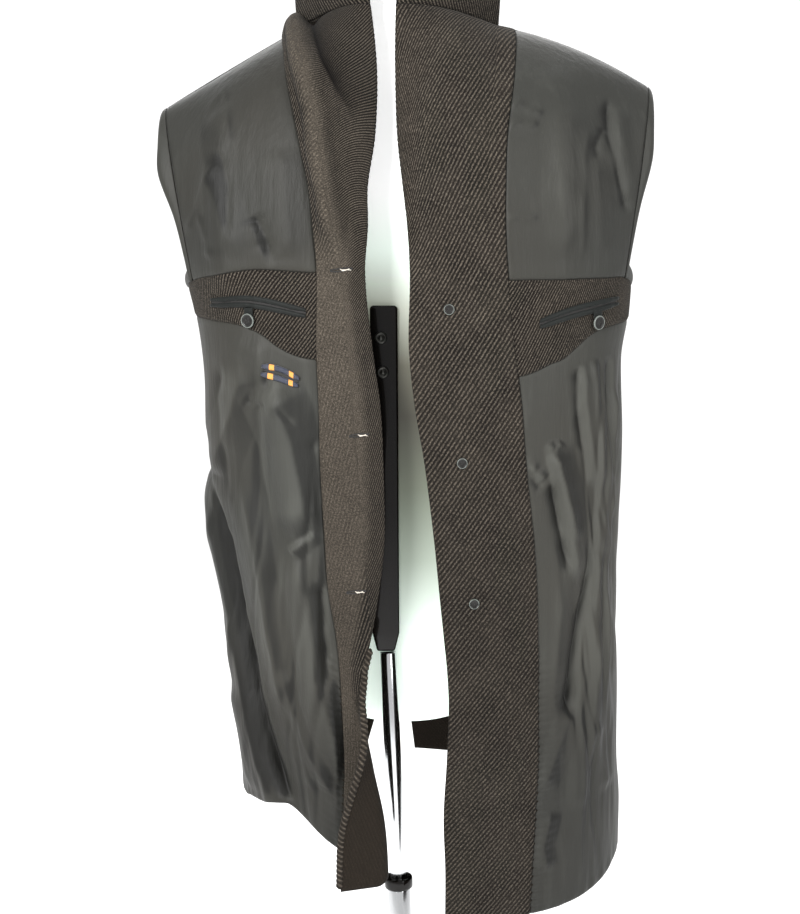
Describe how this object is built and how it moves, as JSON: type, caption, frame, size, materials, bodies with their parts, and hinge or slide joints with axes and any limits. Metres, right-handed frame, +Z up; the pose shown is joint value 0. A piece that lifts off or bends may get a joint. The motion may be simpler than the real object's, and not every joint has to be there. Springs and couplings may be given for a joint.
{
  "type": "wool overcoat turned inside out on a dress form stand",
  "caption": "Thigh-length wool overcoat worn inside out on a limbless white dress form, open at the front, on a pole stand with a round base.",
  "frame": {"origin": "on the underside of the round base, on the middle plane of the coat", "axes": "+Z up, the coat's open front faces -Y"},
  "size_m": [0.5234, 0.4642, 1.5272],
  "materials": {
    "coat_wool": "brushed diagonal twill",
    "lining_satin": "satin",
    "horn_button": "polished",
    "pen_ribbon": "ribbed ribbon",
    "form_white": "satin",
    "stand_black": "gloss",
    "stand_chrome": "polished"
  },
  "bodies": {
    "root": {"shell_front_left": "coat_wool", "shell_back_left": "coat_wool", "facing_left": "coat_wool", "pocket_patch_left": "coat_wool", "lining_front_upper_left": "lining_satin", "lining_front_lower_left": "lining_satin", "lining_back_left": "lining_satin", "sleeve_left": "coat_wool", "sleeve_lining_left": "lining_satin", "pocket_welt_upper_left": "lining_satin", "pocket_welt_lower_left": "lining_satin", "pocket_tab_left": "lining_satin", "pocket_button_left": "horn_button", "shell_front_right": "coat_wool", "shell_back_right": "coat_wool", "facing_right": "coat_wool", "pocket_patch_right": "coat_wool", "lining_front_upper_right": "lining_satin", "lining_front_lower_right": "lining_satin", "lining_back_right": "lining_satin", "sleeve_right": "coat_wool", "sleeve_lining_right": "lining_satin", "pocket_welt_upper_right": "lining_satin", "pocket_welt_lower_right": "lining_satin", "pocket_tab_right": "lining_satin", "pocket_button_right": "horn_button", "pen_welt_upper": "pen_ribbon", "pen_welt_lower": "pen_ribbon", "backing_button_1": "horn_button", "front_button_1": "horn_button", "backing_button_2": "horn_button", "front_button_2": "horn_button", "backing_button_3": "horn_button", "front_button_3": "horn_button", "collar_under": "coat_wool", "collar_top": "coat_wool", "form_torso": "form_white", "stand_bar": "stand_black", "stand_ring": "stand_black", "stand_base": "stand_black", "stand_bolt_1": "stand_chrome", "stand_bolt_2": "stand_chrome", "stand_pole": "stand_chrome", "stand_tube": "stand_chrome"}
  },
  "joints": []
}
